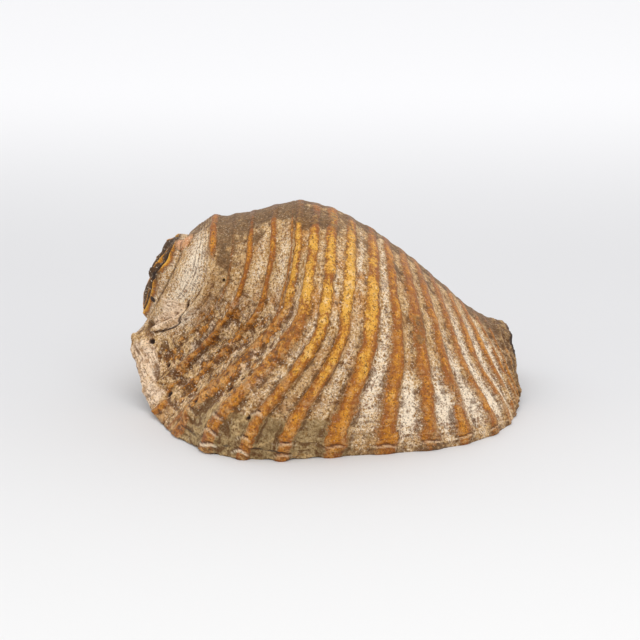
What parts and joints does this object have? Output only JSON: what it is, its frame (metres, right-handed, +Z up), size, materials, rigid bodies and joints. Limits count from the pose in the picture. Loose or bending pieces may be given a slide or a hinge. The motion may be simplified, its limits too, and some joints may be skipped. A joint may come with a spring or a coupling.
{
  "type": "conch shell",
  "caption": "Weathered sea shell with strong spiral ribs, a broken low spire, a wide flared outer lip and an open hollow underneath, lying on its opening.",
  "frame": {"origin": "centre of the bounding box's footprint, on the surface the shell lies on", "axes": "+X from the broken spire to the canal end, +Y away from the outer lip, +Z up, opening downwards"},
  "size_m": [0.187, 0.1248, 0.0996],
  "materials": {
    "shell": "matte"
  },
  "bodies": {
    "root": {"conch_shell": "shell"}
  },
  "joints": []
}
